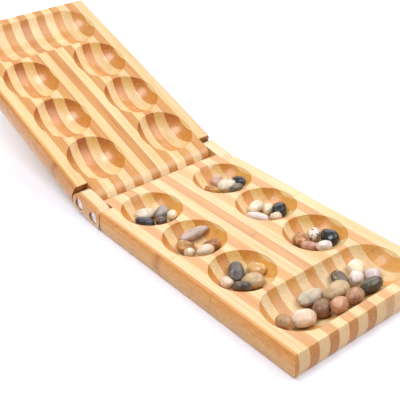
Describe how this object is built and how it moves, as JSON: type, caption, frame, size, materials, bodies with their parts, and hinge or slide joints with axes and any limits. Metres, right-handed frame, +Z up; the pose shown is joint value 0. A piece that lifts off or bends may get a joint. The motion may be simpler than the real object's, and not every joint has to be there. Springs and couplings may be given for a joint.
{
  "type": "folding mancala board",
  "caption": "Folding mancala board of striped laminated bamboo: two hinged halves with round pits and a long store at each end, joined by wooden links on pins, with pebble counters.",
  "frame": {"origin": "centre of the front half's underside, where it stands on the table", "axes": "+Z up, +X along the fold to the right, +Y from the front half over the fold to the back half"},
  "size_m": [0.1546, 0.4917, 0.108],
  "materials": {
    "natural_bamboo": "clear lacquered pale bamboo",
    "carbonised_bamboo": "clear lacquered caramel bamboo",
    "pin_metal": "satin",
    "pebble": "polished river pebbles of mixed colours"
  },
  "bodies": {
    "front_half": {"front_stave_01": "carbonised_bamboo", "front_stave_02": "natural_bamboo", "front_stave_03": "carbonised_bamboo", "front_stave_04": "natural_bamboo", "front_stave_05": "carbonised_bamboo", "front_stave_06": "natural_bamboo", "front_stave_07": "carbonised_bamboo", "front_stave_08": "natural_bamboo", "front_stave_09": "carbonised_bamboo", "front_stave_10": "natural_bamboo", "front_stave_11": "carbonised_bamboo", "front_stave_12": "natural_bamboo", "front_stave_13": "carbonised_bamboo", "front_stave_14": "natural_bamboo", "front_stave_15": "carbonised_bamboo", "front_stave_16": "natural_bamboo", "front_stave_17": "carbonised_bamboo", "front_pins": "pin_metal"},
    "left_link": {"left_link_inner": "natural_bamboo", "left_link_outer": "carbonised_bamboo"},
    "right_link": {"right_link_inner": "natural_bamboo", "right_link_outer": "carbonised_bamboo"},
    "back_half": {"back_stave_01": "carbonised_bamboo", "back_stave_02": "natural_bamboo", "back_stave_03": "carbonised_bamboo", "back_stave_04": "natural_bamboo", "back_stave_05": "carbonised_bamboo", "back_stave_06": "natural_bamboo", "back_stave_07": "carbonised_bamboo", "back_stave_08": "natural_bamboo", "back_stave_09": "carbonised_bamboo", "back_stave_10": "natural_bamboo", "back_stave_11": "carbonised_bamboo", "back_stave_12": "natural_bamboo", "back_stave_13": "carbonised_bamboo", "back_stave_14": "natural_bamboo", "back_stave_15": "carbonised_bamboo", "back_stave_16": "natural_bamboo", "back_stave_17": "carbonised_bamboo", "back_pins": "pin_metal"},
    "pebbles_left_1": {"pebbles_left_1": "pebble"},
    "pebbles_left_2": {"pebbles_left_2": "pebble"},
    "pebbles_left_3": {"pebbles_left_3": "pebble"},
    "pebbles_right_1": {"pebbles_right_1": "pebble"},
    "pebbles_right_2": {"pebbles_right_2": "pebble"},
    "pebbles_right_3": {"pebbles_right_3": "pebble"},
    "pebbles_store": {"pebbles_store": "pebble"}
  },
  "joints": [
    {"name": "left_link_hinge", "type": "hinge", "parent": "front_half", "child": "left_link", "pos_m": [-0.0703, 0.12, 0.01025], "axis": [-1, 0, 0], "range_deg": [-81, 9]},
    {"name": "right_link_hinge", "type": "hinge", "parent": "front_half", "child": "right_link", "pos_m": [0.0703, 0.12, 0.01025], "axis": [-1, 0, 0], "range_deg": [-81, 9]},
    {"name": "back_half_hinge", "type": "hinge", "parent": "left_link", "child": "back_half", "pos_m": [-0.0703, 0.14123, 0.01361], "axis": [-1, 0, 0], "range_deg": [-78.3, 11.7]},
    {"name": "lift_left_1", "type": "slide", "parent": "front_half", "child": "pebbles_left_1", "axis": [0, 0, 1], "range_m": [0, 0.05]},
    {"name": "lift_left_2", "type": "slide", "parent": "front_half", "child": "pebbles_left_2", "axis": [0, 0, 1], "range_m": [0, 0.05]},
    {"name": "lift_left_3", "type": "slide", "parent": "front_half", "child": "pebbles_left_3", "axis": [0, 0, 1], "range_m": [0, 0.05]},
    {"name": "lift_right_1", "type": "slide", "parent": "front_half", "child": "pebbles_right_1", "axis": [0, 0, 1], "range_m": [0, 0.05]},
    {"name": "lift_right_2", "type": "slide", "parent": "front_half", "child": "pebbles_right_2", "axis": [0, 0, 1], "range_m": [0, 0.05]},
    {"name": "lift_right_3", "type": "slide", "parent": "front_half", "child": "pebbles_right_3", "axis": [0, 0, 1], "range_m": [0, 0.05]},
    {"name": "lift_store", "type": "slide", "parent": "front_half", "child": "pebbles_store", "axis": [0, 0, 1], "range_m": [0, 0.05]}
  ],
  "couplings": [
    {"joint": "right_link_hinge", "follows": "left_link_hinge", "ratio": 1}
  ]
}
